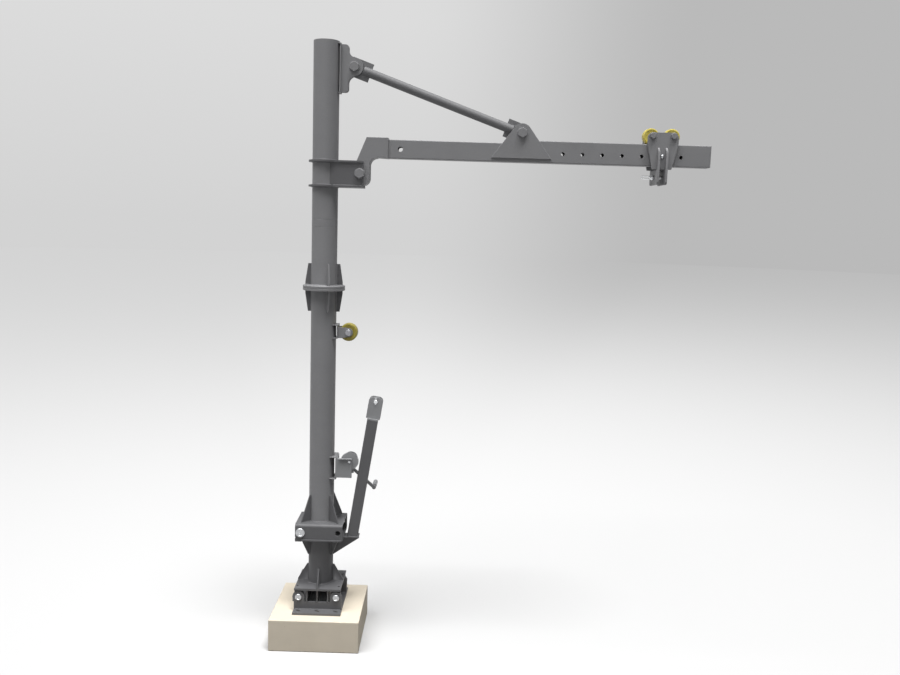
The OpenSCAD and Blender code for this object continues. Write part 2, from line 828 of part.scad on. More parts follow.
module mast_tie_bracket() {
    z0 = mast_tie_z - 139;
    z1 = mast_tie_z + 121;
    inner = tongue_t / 2 + 1;
    color(steel) {
        saddle(tie_saddle_x, z0, z1, 62);
        for (side = [0, 1]) mirror([0, side, 0])
            upright(inner, inner + 10) difference() {
                eye_lug(tie_saddle_x - 1, 121, z0 + 6, z1 - 6, 18,
                        mast_tie_x, mast_tie_z, 48, 40);
                translate([mast_tie_x, mast_tie_z]) circle(arm_pin_r + fit);
            }
    }
}

module mast_tie_pin() {
    color(steel) hex_bolt(mast_tie_x, mast_tie_z, arm_pin_r, tongue_t / 2 + 11, 46);
}

// The upper rod end's outline, its pin at the origin and the rod towards +X.
module square_tongue() {
    translate([-tongue_back, -tongue_w / 2]) square([tongue_back + tongue_front, tongue_w]);
}

// The lower rod end's outline, rounded beyond its pin.
module round_tongue() {
    half = tongue_w / 2;
    circle(tongue_end_r);
    polygon([[0, -tongue_end_r], [28, -half], [tongue_front, -half], [tongue_front, half],
             [-tongue_corner, half], [-tongue_corner, 0], [0, 0]]);
}

module tie_rod() {
    color(steel) translate([mast_tie_x, 0, plinth_h + mast_tie_z]) rotate([0, tie_angle, 0]) {
        for (end = [0, 1]) translate([end * tie_len, 0, 0]) mirror([end, 0, 0])
            rotate([90, 0, 0]) linear_extrude(tongue_t, center = true) difference() {
                if (end == 0) square_tongue(); else round_tongue();
                circle(arm_pin_r + fit);
            }
        translate([tongue_front - 40, 0, 0]) rotate([0, 90, 0]) difference() {
            cylinder(d = rod_d, h = tie_len - 2 * tongue_front + 80);
            translate([0, 0, 50]) cylinder(d = rod_d - 10, h = tie_len - 2 * tongue_front - 20);
        }
    }
}

// ---- trolley ----

module trolley_plates() {
    half = 83;
    low = 52;
    r = 30;
    top = rail_top_z + 61;
    color(steel) for (side = [0, 1]) mirror([0, side, 0])
        upright(trolley_plate_y, trolley_plate_y + trolley_plate_t)
            translate([trolley_x, 0]) difference() {
                union() {
                    polygon([[-low, 2516], [low, 2516], [half, top - r - 30],
                             [half, top - r], [-half, top - r], [-half, top - r - 30]]);
                    translate([-half + r, top - r - 1]) square([2 * (half - r), r + 1]);
                    for (x = [-1, 1] * (half - r)) translate([x, top - r]) circle(r);
                }
                for (x = [-1, 1] * wheel_dx)
                    translate([x, wheel_z]) circle(trolley_axle_r + fit);
                translate([0, arm_mid_z]) circle(lock_hole_r);
            }
}

module trolley_axles() {
    half = trolley_plate_y + trolley_plate_t;
    color(zinc) for (x = [-1, 1] * wheel_dx)
        hex_bolt(trolley_x + x, wheel_z, trolley_axle_r, half, 30);
}

module trolley_hanger() {
    arm_in = trolley_plate_y + trolley_plate_t + weld_gap;
    arm_out = arm_in + 24;
    seat = 2515;
    low = hanger_pin_z - 40;
    r = 16;
    color(steel) for (x = [-1, 1] * hanger_dx)
        translate([trolley_x + x - hanger_t / 2, 0, plinth_h]) rotate([90, 0, 90])
            linear_extrude(hanger_t) difference() {
                union() {
                    polygon([[-arm_out, 2600], [-arm_out, low + r], [arm_out, low + r],
                             [arm_out, 2600], [arm_in, 2630], [arm_in, seat], [-arm_in, seat],
                             [-arm_in, 2630]]);
                    translate([r - arm_out, low]) square([2 * (arm_out - r), r + 1]);
                    for (y = [-1, 1] * (arm_out - r)) translate([y, low + r]) circle(r);
                }
                translate([0, hanger_pin_z]) circle(hanger_pin_r + fit);
            }
}

module hanger_pin() {
    color(zinc) translate([trolley_x, 0, plinth_h + hanger_pin_z]) rotate([0, 90, 0]) {
        translate([0, 0, -94]) cylinder(r = hanger_pin_r, h = 132);
        translate([0, 0, -40]) cylinder(r = 13, h = 10);
    }
}

module trolley_roller(side) {
    x = trolley_x + side * wheel_dx;
    color(roller_yellow) difference() {
        along_y(x, wheel_z, wheel_d / 2, -wheel_w / 2, wheel_w / 2);
        along_y(x, wheel_z, trolley_axle_r + fit, -wheel_w, wheel_w);
    }
}

plinth();
foot_bracket();
foot_pin(-1);  // foot_pin_left
foot_pin(1);  // foot_pin_right
stub_foot();
stub_tube();
stub_head();
pole_bracket();
gin_pole();
pole_clevis();
pole_pin();
tilt_pin();
mast_foot();
lower_mast_tube();
lower_flange();
upper_flange();
middle_mast_tube();
swivel_ring();
swivel_spigot();
roller_bracket();
roller_axle();
guide_roller();
winch_bracket();
winch_frame();
winch_gear();
winch_drum();
winch_crank();
upper_mast_tube();
arm_collar();
arm_pin();
arm_root();
arm_inner_section();
arm_rail();
rail_end_cap();
arm_tie_bracket();
arm_tie_pin();
mast_tie_bracket();
mast_tie_pin();
tie_rod();
trolley_plates();
trolley_axles();
trolley_hanger();
hanger_pin();
trolley_roller(-1);  // left_trolley_roller
trolley_roller(1);  // right_trolley_roller
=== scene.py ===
import json
import math

import bmesh
import bpy
from mathutils import Matrix, Vector


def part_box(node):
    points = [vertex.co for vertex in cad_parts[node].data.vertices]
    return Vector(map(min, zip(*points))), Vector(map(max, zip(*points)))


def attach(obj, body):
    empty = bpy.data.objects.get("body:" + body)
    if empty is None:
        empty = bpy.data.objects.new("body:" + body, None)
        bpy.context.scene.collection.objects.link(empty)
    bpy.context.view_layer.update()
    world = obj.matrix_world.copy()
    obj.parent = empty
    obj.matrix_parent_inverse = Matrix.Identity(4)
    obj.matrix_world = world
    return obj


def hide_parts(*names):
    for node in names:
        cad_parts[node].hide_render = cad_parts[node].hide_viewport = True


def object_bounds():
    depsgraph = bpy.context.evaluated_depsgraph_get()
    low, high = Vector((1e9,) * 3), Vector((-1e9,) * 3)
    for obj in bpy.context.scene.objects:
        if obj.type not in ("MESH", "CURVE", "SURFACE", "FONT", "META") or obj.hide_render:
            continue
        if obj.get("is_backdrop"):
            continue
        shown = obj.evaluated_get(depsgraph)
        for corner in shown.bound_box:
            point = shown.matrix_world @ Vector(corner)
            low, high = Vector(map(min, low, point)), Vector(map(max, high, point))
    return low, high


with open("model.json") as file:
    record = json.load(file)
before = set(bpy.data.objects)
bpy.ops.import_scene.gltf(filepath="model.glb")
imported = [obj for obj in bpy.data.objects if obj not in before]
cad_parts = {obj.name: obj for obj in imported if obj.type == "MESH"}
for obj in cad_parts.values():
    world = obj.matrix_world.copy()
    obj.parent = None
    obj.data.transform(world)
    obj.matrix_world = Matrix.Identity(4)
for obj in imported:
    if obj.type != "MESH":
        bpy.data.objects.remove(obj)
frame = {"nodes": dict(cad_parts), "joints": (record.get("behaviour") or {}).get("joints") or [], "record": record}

# The looks of a tilting and slewing davit: the finish of every part, its eased plate
# edges, its fasteners, rollers, winch and weld beads, and the studio it stands in.
# Lengths are in metres.

scene = bpy.context.scene
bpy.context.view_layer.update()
SLOT_OF = {p["node"]: p["material_slot"] for p in frame["record"]["subparts"]}
BODY_OF = {node: body for body, nodes in frame["record"]["behaviour"]["bodies"].items()
           for node in nodes}

plinth_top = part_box("plinth")[1].z


def middle(node):
    """The centre of a CAD part's box."""
    low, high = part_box(node)
    return (low + high) / 2


# ---- camera, at eye height over the plinth and a little right of the mast ----

EYE = Vector((0.7035, -4.69, plinth_top + 2.187))
LOOKS_DOWN = math.radians(7.2)
LEANS = 0.0305                 # radians that the picture is turned by
PICTURE_W = 900
FOCAL = 850                    # in the same unit as PICTURE_W
MIDDLE_OFF = -5                # how far the lens axis sits from the middle, same unit

view = bpy.data.cameras.new("view")
view.sensor_width = 36
view.lens = FOCAL / PICTURE_W * view.sensor_width
view.shift_y = MIDDLE_OFF / PICTURE_W
camera = bpy.data.objects.new("view", view)
camera.matrix_world = (Matrix.Translation(EYE)
                       @ Matrix.Rotation(math.pi / 2 - LOOKS_DOWN, 4, "X")
                       @ Matrix.Rotation(LEANS, 4, "Z"))
scene.collection.objects.link(camera)
scene.camera = camera


# ---- finishes ----

def linear(code):
    """An sRGB hex colour as linear RGBA."""
    parts = [int(code[i:i + 2], 16) / 255 for i in (1, 3, 5)]
    return (*[c / 12.92 if c <= 0.04045 else ((c + 0.055) / 1.055) ** 2.4 for c in parts], 1)


def per(size_mm):
    """The scale of a pattern that repeats every size_mm."""
    return 1000 / size_mm


MIXED = 2             # a colour Mix node's inputs 6 and 7 make its output 2


def add(tree, kind, sockets=None, **settings):
    """Adds a shader node; sockets gives its inputs values or the outputs they link to."""
    made = tree.nodes.new("ShaderNode" + kind)
    for name, value in settings.items():
        setattr(made, name, value)
    for name, value in (sockets or {}).items():
        if isinstance(value, bpy.types.NodeSocket):
            tree.links.new(value, made.inputs[name])
        else:
            made.inputs[name].default_value = value
    return made


def new_finish(name):
    """An empty material, its node tree, its shader and its object coordinates."""
    made = bpy.data.materials.new(name)
    made.use_nodes = True
    tree = made.node_tree
    shader = tree.nodes["Principled BSDF"]
    place = add(tree, "TexCoord").outputs["Object"]
    return made, tree, shader, place


def powder_coat(name, body_colour, pale_colour, rubbed_and_highlight_colour, roughness, waves=0.10):
    """Satin polyester powder baked on blasted steel: an even, slightly pebbled grey skin
    with faint clouds in it, a paler line along plate edges that is rub wear and a painted edge highlight, and a
    soft sheen."""
    made, tree, shader, place = new_finish(name)
    # clouds of film thickness about 140 mm across
    clouds = add(tree, "TexNoise", {"Vector": place, "Scale": per(140), "Detail": 3.0,
                                    "Roughness": 0.55}).outputs["Fac"]
    # powder grain is under 1 mm, drawn 5 mm wide so that it shows
    grain = add(tree, "TexNoise", {"Vector": place, "Scale": per(5), "Detail": 2.0}).outputs["Fac"]
    # flow marks of the orange peel, 3 mm on the real coat and drawn 8 mm wide
    peel = add(tree, "TexNoise", {"Vector": place, "Scale": per(8), "Detail": 1.0}).outputs["Fac"]
    # handling scuffs, long in the height and 14 mm wide
    along = add(tree, "Mapping", {"Vector": place, "Scale": (1.0, 1.0, 0.12)})
    scuffs = add(tree, "TexNoise", {"Vector": along.outputs["Vector"], "Scale": per(14),
                                    "Detail": 5.0, "Roughness": 0.7}).outputs["Fac"]
    cloud_mix = add(tree, "MapRange", {"Value": clouds, "From Min": 0.3, "From Max": 0.7})
    base = add(tree, "Mix", {0: cloud_mix.outputs["Result"], 6: linear(body_colour),
                             7: linear(pale_colour)}, data_type="RGBA")
    speck = add(tree, "MapRange", {"Value": grain, "From Min": 0.35, "From Max": 0.65,
                                   "To Min": 0.97, "To Max": 1.03})
    # edges, where the coat draws thin and hands rub it: a 2 mm band, paler as rub wear and as a painted highlight
    turned_in = add(tree, "Bevel", {"Radius": 0.002}, samples=4)
    flat = add(tree, "NewGeometry")
    same = add(tree, "VectorMath", {0: turned_in.outputs["Normal"], 1: flat.outputs["Normal"]},
               operation="DOT_PRODUCT")
    edge_wear_and_highlight = add(tree, "MapRange", {"Value": same.outputs["Value"], "From Min": 0.99,
                                  "From Max": 0.86, "To Min": 0.0, "To Max": 0.55})
    patchy_wear_and_highlight = add(tree, "Math", {0: edge_wear_and_highlight.outputs["Result"], 1: scuffs}, operation="MULTIPLY")
    # the paler edge colour mixed in here is rub wear and a painted edge highlight
    worn_and_highlit = add(tree, "Mix", {0: patchy_wear_and_highlight.outputs["Value"], 6: base.outputs[MIXED],
                             7: linear(rubbed_and_highlight_colour)}, data_type="RGBA")
    tone = add(tree, "VectorMath", {0: worn_and_highlit.outputs[MIXED], "Scale": speck.outputs["Result"]},
               operation="SCALE")
    tree.links.new(tone.outputs["Vector"], shader.inputs["Base Color"])
    sheen = add(tree, "MapRange", {"Value": scuffs, "From Min": 0.25, "From Max": 0.75,
                                   "To Min": roughness - 0.05, "To Max": roughness + 0.07})
    tree.links.new(sheen.outputs["Result"], shader.inputs["Roughness"])
    skin = add(tree, "Bump", {"Height": peel, "Strength": waves, "Distance": 0.0006})
    fine = add(tree, "Bump", {"Height": grain, "Strength": 0.06, "Distance": 0.0003,
                              "Normal": skin.outputs["Normal"]})
    tree.links.new(fine.outputs["Normal"], shader.inputs["Normal"])
    shader.inputs["IOR"].default_value = 1.5
    return made


def zinc_plate(name, plate_colour, dull_colour, low_rough, high_rough):
    """Zinc plate on turned steel: a pale silver with milky bloom, fine crystal grain in
    its face and a few darker rubbed spots."""
    made, tree, shader, place = new_finish(name)
    # bloom in patches about 9 mm across
    bloom = add(tree, "TexNoise", {"Vector": place, "Scale": per(9), "Detail": 4.0,
                                   "Roughness": 0.6}).outputs["Fac"]
    # zinc crystals are well under 1 mm, drawn 2 mm wide
    crystals = add(tree, "TexVoronoi", {"Vector": place, "Scale": per(2)}).outputs["Distance"]
    tone = add(tree, "MapRange", {"Value": bloom, "From Min": 0.3, "From Max": 0.7})
    plate = add(tree, "Mix", {0: tone.outputs["Result"], 6: linear(dull_colour),
                              7: linear(plate_colour)}, data_type="RGBA")
    tree.links.new(plate.outputs[MIXED], shader.inputs["Base Color"])
    polish = add(tree, "MapRange", {"Value": bloom, "From Min": 0.25, "From Max": 0.75,
                                    "To Min": high_rough, "To Max": low_rough})
    tree.links.new(polish.outputs["Result"], shader.inputs["Roughness"])
    shader.inputs["Metallic"].default_value = 1.0
    marks = add(tree, "Bump", {"Height": crystals, "Strength": 0.08, "Distance": 0.0002})
    tree.links.new(marks.outputs["Normal"], shader.inputs["Normal"])
    return made


def cast_polyurethane(name, dark_colour, pale_colour):
    """Cast polyurethane, 90 Shore A: an olive yellow that glows a little at its rims, with
    a moulded satin skin and amber clouds in it."""
    made, tree, shader, place = new_finish(name)
    # casting clouds about 30 mm across
    clouds = add(tree, "TexNoise", {"Vector": place, "Scale": per(30),
                                    "Detail": 2.0}).outputs["Fac"]
    # mould grain, under 1 mm on the real roller and drawn 3 mm wide
    grain = add(tree, "TexNoise", {"Vector": place, "Scale": per(3), "Detail": 3.0}).outputs["Fac"]
    tone = add(tree, "MapRange", {"Value": clouds, "From Min": 0.3, "From Max": 0.7})
    cast = add(tree, "Mix", {0: tone.outputs["Result"], 6: linear(dark_colour),
                             7: linear(pale_colour)}, data_type="RGBA")
    tree.links.new(cast.outputs[MIXED], shader.inputs["Base Color"])
    satin = add(tree, "MapRange", {"Value": grain, "From Min": 0.3, "From Max": 0.7,
                                   "To Min": 0.38, "To Max": 0.50})
    tree.links.new(satin.outputs["Result"], shader.inputs["Roughness"])
    skin = add(tree, "Bump", {"Height": grain, "Strength": 0.10, "Distance": 0.0004})
    tree.links.new(skin.outputs["Normal"], shader.inputs["Normal"])
    shader.inputs["IOR"].default_value = 1.5
    shader.inputs["Subsurface Weight"].default_value = 0.12
    shader.inputs["Subsurface Radius"].default_value = (0.006, 0.004, 0.001)
    return made


def smooth_concrete(name):
    """Cream concrete cast against smooth shuttering: a pale, even face with soft clouds,
    small blow holes and a slightly rough, dry surface."""
    made, tree, shader, place = new_finish(name)
    # clouds of moisture about 180 mm across
    clouds = add(tree, "TexNoise", {"Vector": place, "Scale": per(180), "Detail": 4.0,
                                    "Roughness": 0.6}).outputs["Fac"]
    # sand grain, 1 mm on the real face and drawn 4 mm wide
    sand = add(tree, "TexNoise", {"Vector": place, "Scale": per(4), "Detail": 3.0}).outputs["Fac"]
    # blow holes 2 to 3 mm wide, one about every 60 mm
    cells = add(tree, "TexVoronoi", {"Vector": place, "Scale": per(60)}).outputs["Distance"]
    hole = add(tree, "MapRange", {"Value": cells, "From Min": 0.02, "From Max": 0.05})
    tone = add(tree, "MapRange", {"Value": clouds, "From Min": 0.3, "From Max": 0.7})
    cream = add(tree, "Mix", {0: tone.outputs["Result"], 6: linear("#E2D7C4"),
                              7: linear("#EADFCC")}, data_type="RGBA")
    # the blow holes are painted darker, as shade inside the pits
    pits_with_painted_shade = add(tree, "Mix", {0: hole.outputs["Result"], 6: linear("#D3C7B2"),
                               7: cream.outputs[MIXED]}, data_type="RGBA")
    tree.links.new(pits_with_painted_shade.outputs[MIXED], shader.inputs["Base Color"])
    dry = add(tree, "MapRange", {"Value": sand, "From Min": 0.3, "From Max": 0.7,
                                 "To Min": 0.72, "To Max": 0.88})
    tree.links.new(dry.outputs["Result"], shader.inputs["Roughness"])
    pits = add(tree, "Bump", {"Height": hole.outputs["Result"], "Strength": 0.35,
                              "Distance": 0.0015})
    face = add(tree, "Bump", {"Height": sand, "Strength": 0.15, "Distance": 0.0005,
                              "Normal": pits.outputs["Normal"]})
    tree.links.new(face.outputs["Normal"], shader.inputs["Normal"])
    shader.inputs["IOR"].default_value = 1.5
    return made


grey_coat = powder_coat("grey_powder_coat", "#868688", "#8C8C8E", "#ADADAF", 0.50)
dark_coat = powder_coat("dark_grey_powder_coat", "#5D5D5F", "#636365", "#848486", 0.52)
light_coat = powder_coat("light_grey_powder_coat", "#949597", "#9B9C9E", "#BABBBC", 0.48)
zinc = zinc_plate("zinc_plate", "#C8C9CB", "#B2B4B7", 0.26, 0.42)
bright_zinc = zinc_plate("bright_zinc_plate", "#F0F1F2", "#DDDFE1", 0.26, 0.42)
# a darker, rougher copy of the zinc plate, for the guide roller's bolt
dull_zinc = zinc_plate("dull_zinc_plate", "#A8A8AC", "#8E8F93", 0.40, 0.58)
polyurethane = cast_polyurethane("cast_polyurethane", "#D6C452", "#E4D46E")
# a darker olive copy of the cast polyurethane, for the guide roller
darker_polyurethane = cast_polyurethane("darker_cast_polyurethane", "#9E9136", "#B0A34A")
# a darker, rougher copy of the grey coat for the tie rod: painted shade that tones down its lit top
rod_coat_painted_shade = powder_coat("rod_powder_coat_painted_shade", "#747476", "#7A7A7C", "#A2A2A4", 0.58)
concrete = smooth_concrete("smooth_cream_concrete")
FINISH = {"painted_steel": grey_coat, "dark_painted_steel": dark_coat,
          "light_painted_steel": light_coat, "zinc_plated_steel": zinc,
          "polyurethane": polyurethane, "concrete": concrete}

for name, part in frame["nodes"].items():
    part.data.materials.clear()
    part.data.materials.append(FINISH[SLOT_OF[name]])


# ---- shapes ----

TOUCH = 1e-5          # points nearer than this are one point
UP = (0, 0, 1)
INWARD = (0, 1, 0)    # away from the side the pin heads show on


def upon(point, direction):
    """Places a shape that was made up the local Z axis at point, with Z along direction."""
    turn = Vector(direction).to_track_quat("Z", "Y").to_matrix().to_4x4()
    return Matrix.Translation(point) @ turn


def turned(outline, point, direction, steps=48):
    """A lathe-turned shape: outline is a closed run of (radius, height) pairs."""
    shape = bmesh.new()
    marks = [shape.verts.new((radius, 0, height)) for radius, height in outline]
    lines = [shape.edges.new((a, b)) for a, b in zip(marks, marks[1:] + marks[:1])
             if a.co.x > 0 or b.co.x > 0]
    bmesh.ops.spin(shape, geom=marks + lines, cent=(0, 0, 0), axis=UP, angle=2 * math.pi,
                   steps=steps, use_merge=True)
    bmesh.ops.remove_doubles(shape, verts=shape.verts, dist=1e-6)
    bmesh.ops.recalc_face_normals(shape, faces=shape.faces)
    bmesh.ops.transform(shape, matrix=upon(point, direction), verts=shape.verts)
    return shape


def disc(radius, low, high, ease, bore=0.0):
    """The outline of a washer, collar or head from low to high with its rim eased."""
    return [(bore, low), (radius - ease, low), (radius, low + ease), (radius, high - ease),
            (radius - ease, high), (bore, high)]


def hexagon(flats, low, high, point, direction, ease=0.0015):
    """A bolt head or a nut from low to high, measured across its flats."""
    shape = bmesh.new()
    corner = flats / 2 / math.cos(math.pi / 6)
    bmesh.ops.create_cone(shape, cap_ends=True, segments=6, radius1=corner, radius2=corner,
                          depth=high - low)
    rims = [e for e in shape.edges if abs(e.verts[0].co.z - e.verts[1].co.z) < TOUCH]
    bmesh.ops.bevel(shape, geom=rims, offset=ease, segments=1, profile=0.5,
                    affect="EDGES", material=-1)
    bmesh.ops.translate(shape, vec=(0, 0, (low + high) / 2), verts=shape.verts)
    bmesh.ops.transform(shape, matrix=upon(point, direction), verts=shape.verts)
    return shape


def rod(start, end, radius, steps=12):
    """A round bar with rounded ends between two points."""
    start, end = Vector(start), Vector(end)
    long = (end - start).length
    outline = [(0, 0), (radius * 0.7, radius * 0.15), (radius, radius * 0.6),
               (radius, long - radius * 0.6), (radius * 0.7, long - radius * 0.15), (0, long)]
    return turned(outline, start, end - start, steps)


def gather(*shapes):
    """One shape from several."""
    whole = bmesh.new()
    for shape in shapes:
        copy = bpy.data.meshes.new("copy")
        shape.to_mesh(copy)
        shape.free()
        whole.from_mesh(copy)
        bpy.data.meshes.remove(copy)
    return whole


def piece(shape, name, body, slot, nodes=(), finish=None):
    """Puts a finished shape in the scene, on its body, in place of the CAD nodes named. It
    wears its slot's finish, or the one given."""
    mesh = bpy.data.meshes.new(name)
    shape.to_mesh(mesh)
    shape.free()
    mesh.shade_smooth()
    mesh.set_sharp_from_angle(angle=math.radians(35))
    mesh.materials.append(finish or FINISH[slot])
    made = bpy.data.objects.new(name, mesh)
    scene.collection.objects.link(made)
    made.modifiers.new("even_shading", "WEIGHTED_NORMAL").keep_sharp = True
    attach(made, body)
    if nodes:
        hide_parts(*nodes)
    return made


def eased(node, width, corner=0.0, segments=2, behind=-1.0, finish=None):
    """A CAD part with its sharp outer edges eased by width, where they lie behind that
    depth. A hollow section's long outer corners are first rounded by corner."""
    shape = bmesh.new()
    shape.from_mesh(frame["nodes"][node].data)
    bmesh.ops.remove_doubles(shape, verts=shape.verts, dist=TOUCH)
    bmesh.ops.dissolve_limit(shape, angle_limit=math.radians(0.5), verts=shape.verts,
                             edges=shape.edges)
    if corner:
        long = [e for e in shape.edges if e.calc_length() > 0.3 and e.is_convex
                and e.calc_face_angle(0) > math.radians(60)]
        bmesh.ops.bevel(shape, geom=long, offset=corner, segments=5, profile=0.5,
                        affect="EDGES", material=-1)
    sharp = [e for e in shape.edges if e.is_manifold and e.is_convex
             and e.calc_face_angle(0) > math.radians(40)
             and min(v.co.y for v in e.verts) > behind]
    bmesh.ops.bevel(shape, geom=sharp, offset=width, segments=segments, profile=0.5,
                    affect="EDGES", material=-1, clamp_overlap=True)
    piece(shape, node + "_eased", BODY_OF[node], SLOT_OF[node], [node], finish)


eased("plinth", 0.005, segments=3)
for node, width in {
        "foot_bracket": 0.0015, "stub_foot": 0.0015, "stub_head": 0.0015,
        "pole_bracket": 0.0015, "pole_clevis": 0.0015, "mast_foot": 0.0015,
        "lower_mast_tube": 0.001, "middle_mast_tube": 0.001, "upper_mast_tube": 0.001,
        "swivel_ring": 0.002, "swivel_spigot": 0.001,
        "roller_bracket": 0.001, "winch_bracket": 0.001, "winch_frame": 0.0008,
        "arm_collar": 0.0015, "arm_root": 0.0015,
        "rail_end_cap": 0.002, "arm_tie_bracket": 0.0015, "mast_tie_bracket": 0.0012,
        "trolley_plates": 0.0015, "trolley_hanger": 0.0015}.items():
    eased(node, width)
eased("tie_rod", 0.0015, finish=rod_coat_painted_shade)
eased("gin_pole", 0.001, corner=0.005)
eased("arm_inner_section", 0.001, corner=0.004)
eased("arm_rail", 0.001, corner=0.004)
eased("stub_tube", 0.001)
eased("winch_drum", 0.0008)
eased("winch_crank", 0.0010, behind=middle("winch_frame").y + 0.055)   # not its gear teeth


# ---- fasteners ----

WASHER_T = 0.004
WASHER_PER_FLATS = 0.6       # a washer's radius, where a hexagon is 1 across its flats
HEAD_PER_RADIUS = 0.9        # a bolt head's height, where the bolt's radius is 1
NUT_T = 0.018
BOLT_STANDS_OUT = 0.026      # a bolt's end, from the steel's face
AXLE_R, JOINT_BOLT_R = 0.010, 0.015


def thread(radius, start, end, pitch=0.003):
    """The outline of a threaded end from start to end, drawn as a run of grooves."""
    count = max(2, round((end - start) / pitch))
    step = (end - start) / count
    marks = []
    for i in range(count):
        marks += [(radius, start + (i + 0.25) * step), (radius * 0.9, start + (i + 0.75) * step)]
    return marks


def washer_and_hex(flats, x, z, face, side, thick):
    """A flat washer on a face at y = face with a hexagon of that thickness outside it."""
    start, direction = (x, face, z), (0, side, 0)
    seat = WASHER_T + 0.0005               # the hexagon's own washer face is 0.5 mm thick
    return [turned(disc(flats * WASHER_PER_FLATS, 0, WASHER_T, 0.0008), start, direction),
            turned(disc(flats * 0.47, WASHER_T, seat, 0.0002), start, direction),
            hexagon(flats, seat, WASHER_T + thick, start, direction)]


def bolt(x, z, radius, grip, flats):
    """A hexagon bolt through 2 * grip of steel, with washers, nut and threaded end."""
    end = grip + BOLT_STANDS_OUT
    shank = [(0, -grip), (radius, -grip), (radius, end - 0.006)] \
        + thread(radius, end - 0.006, end - 0.001) \
        + [(radius * 0.8, end), (0, end)]
    return [turned(shank, (x, 0, z), INWARD),
            *washer_and_hex(flats, x, z, -grip, -1, radius * HEAD_PER_RADIUS),
            *washer_and_hex(flats, x, z, grip, 1, NUT_T)]


def bolt_size(node):
    """Centre, half the clamped thickness and width across flats of a CAD bolt."""
    low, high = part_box(node)
    flats = (high.z - low.z) / (2 * WASHER_PER_FLATS)
    return (low.x + high.x) / 2, (low.z + high.z) / 2, high.y - BOLT_STANDS_OUT, flats


for node, radius, finish in (
        ("roller_axle", AXLE_R, dull_zinc), ("arm_pin", JOINT_BOLT_R, None),
        ("arm_tie_pin", JOINT_BOLT_R, None), ("mast_tie_pin", JOINT_BOLT_R, None)):
    x, z, grip, flats = bolt_size(node)
    piece(gather(*bolt(x, z, radius, grip, flats)), node + "_bolt", BODY_OF[node],
          SLOT_OF[node], [node], finish)

x, z, grip, flats = bolt_size("trolley_axles")
piece(gather(*[part for wheel in ("left_trolley_roller", "right_trolley_roller")
               for part in bolt(middle(wheel).x, z, AXLE_R, grip, flats)]),
      "trolley_axle_bolts", "trolley", "painted_steel", ["trolley_axles"])


def split_pin(x, y, z, radius, reach):
    """A split pin through a shaft end of that radius: an eye on top and two bent legs."""
    wire = 0.0016
    eye = bmesh.new()
    ring = bmesh.ops.create_circle(eye, segments=8, radius=wire)
    bmesh.ops.rotate(eye, cent=(0, 0, 0), matrix=Matrix.Rotation(math.pi / 2, 3, "Y"),
                     verts=ring["verts"])
    bmesh.ops.translate(eye, vec=(0, 0, 0.004), verts=ring["verts"])
    bmesh.ops.spin(eye, geom=eye.verts[:] + eye.edges[:], cent=(0, 0, 0), axis=(0, 1, 0),
                   angle=2 * math.pi, steps=16, use_merge=True)
    bmesh.ops.remove_doubles(eye, verts=eye.verts, dist=1e-6)
    bmesh.ops.recalc_face_normals(eye, faces=eye.faces)
    bmesh.ops.translate(eye, vec=(x, y, z + radius + 0.006), verts=eye.verts)
    low = z - radius - 0.003
    return [eye, rod((x, y, z + radius + 0.003), (x, y, low), wire),
            rod((x, y, low), (x - reach, y, low - reach * 0.6), wire),
            rod((x, y, low), (x + reach, y, low - reach * 0.6), wire)]


def headed_pin(node, radius):
    """A turned joint pin: a dished head with a centre mark in front, a washer and a split
    pin at the back."""
    low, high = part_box(node)
    centre = (low + high) / 2
    head = (high.x - low.x) / 2
    face = low.y                          # front of the head
    seat = low.y + 0.008                  # back of the head
    end = high.y + 0.004
    outline = [(0, 0.0035), (0.0015, 0.0035), (0.003, 0.0015), (head * 0.62, 0.0015),
               (head * 0.68, 0), (head - 0.002, 0), (head, 0.002), (head, 0.0065),
               (head - 0.0015, 0.008), (radius, 0.008), (radius, end - face - 0.002),
               (radius - 0.002, end - face), (0, end - face)]
    back = high.y - 0.0077
    return [turned(outline, (centre.x, face, centre.z), INWARD),
            turned(disc(head * 0.8, 0, 0.004, 0.0008, radius), (centre.x, back, centre.z), INWARD),
            *split_pin(centre.x, high.y, centre.z, radius, 0.006)]


for node, radius in {"foot_pin_left": 0.012, "foot_pin_right": 0.012, "tilt_pin": 0.015}.items():
    piece(gather(*headed_pin(node, radius)), node + "_turned", BODY_OF[node], SLOT_OF[node],
          [node])


# The gin pole's pin: a plain turned shank with a button head behind, a washer and a
# split pin in front.
low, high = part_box("pole_pin")
point = (low + high) / 2
point.y = low.y
pin_r = 0.011
reach = high.y - low.y
piece(gather(
    turned([(0, 0), (pin_r - 0.001, 0), (pin_r, 0.001), (pin_r, 0.008), (pin_r, reach - 0.004),
            (0.013, reach - 0.004), (0.013, reach - 0.001), (0.012, reach), (0, reach)],
           point, INWARD),
    turned(disc(0.016, 0.0062, 0.0098, 0.0008, pin_r), point, INWARD),
    *split_pin(point.x, point.y + 0.003, point.z, pin_r, 0.005)),
    "pole_pin_turned", "base", "zinc_plated_steel", ["pole_pin"], bright_zinc)


def wire_bend(centre, radius, wire):
    """Half a ring of round wire, open towards +X, standing in the XZ plane."""
    bend = bmesh.new()
    bmesh.ops.create_circle(bend, cap_ends=True, segments=12, radius=wire)
    bmesh.ops.rotate(bend, cent=(0, 0, 0), matrix=Matrix.Rotation(math.pi / 2, 3, "Y"),
                     verts=bend.verts)
    bmesh.ops.translate(bend, vec=(0, 0, radius), verts=bend.verts)
    bmesh.ops.spin(bend, geom=bend.verts[:] + bend.edges[:] + bend.faces[:], cent=(0, 0, 0),
                   axis=(0, -1, 0), angle=math.pi, steps=12)
    bmesh.ops.recalc_face_normals(bend, faces=bend.faces)
    bmesh.ops.translate(bend, vec=centre, verts=bend.verts)
    return bend


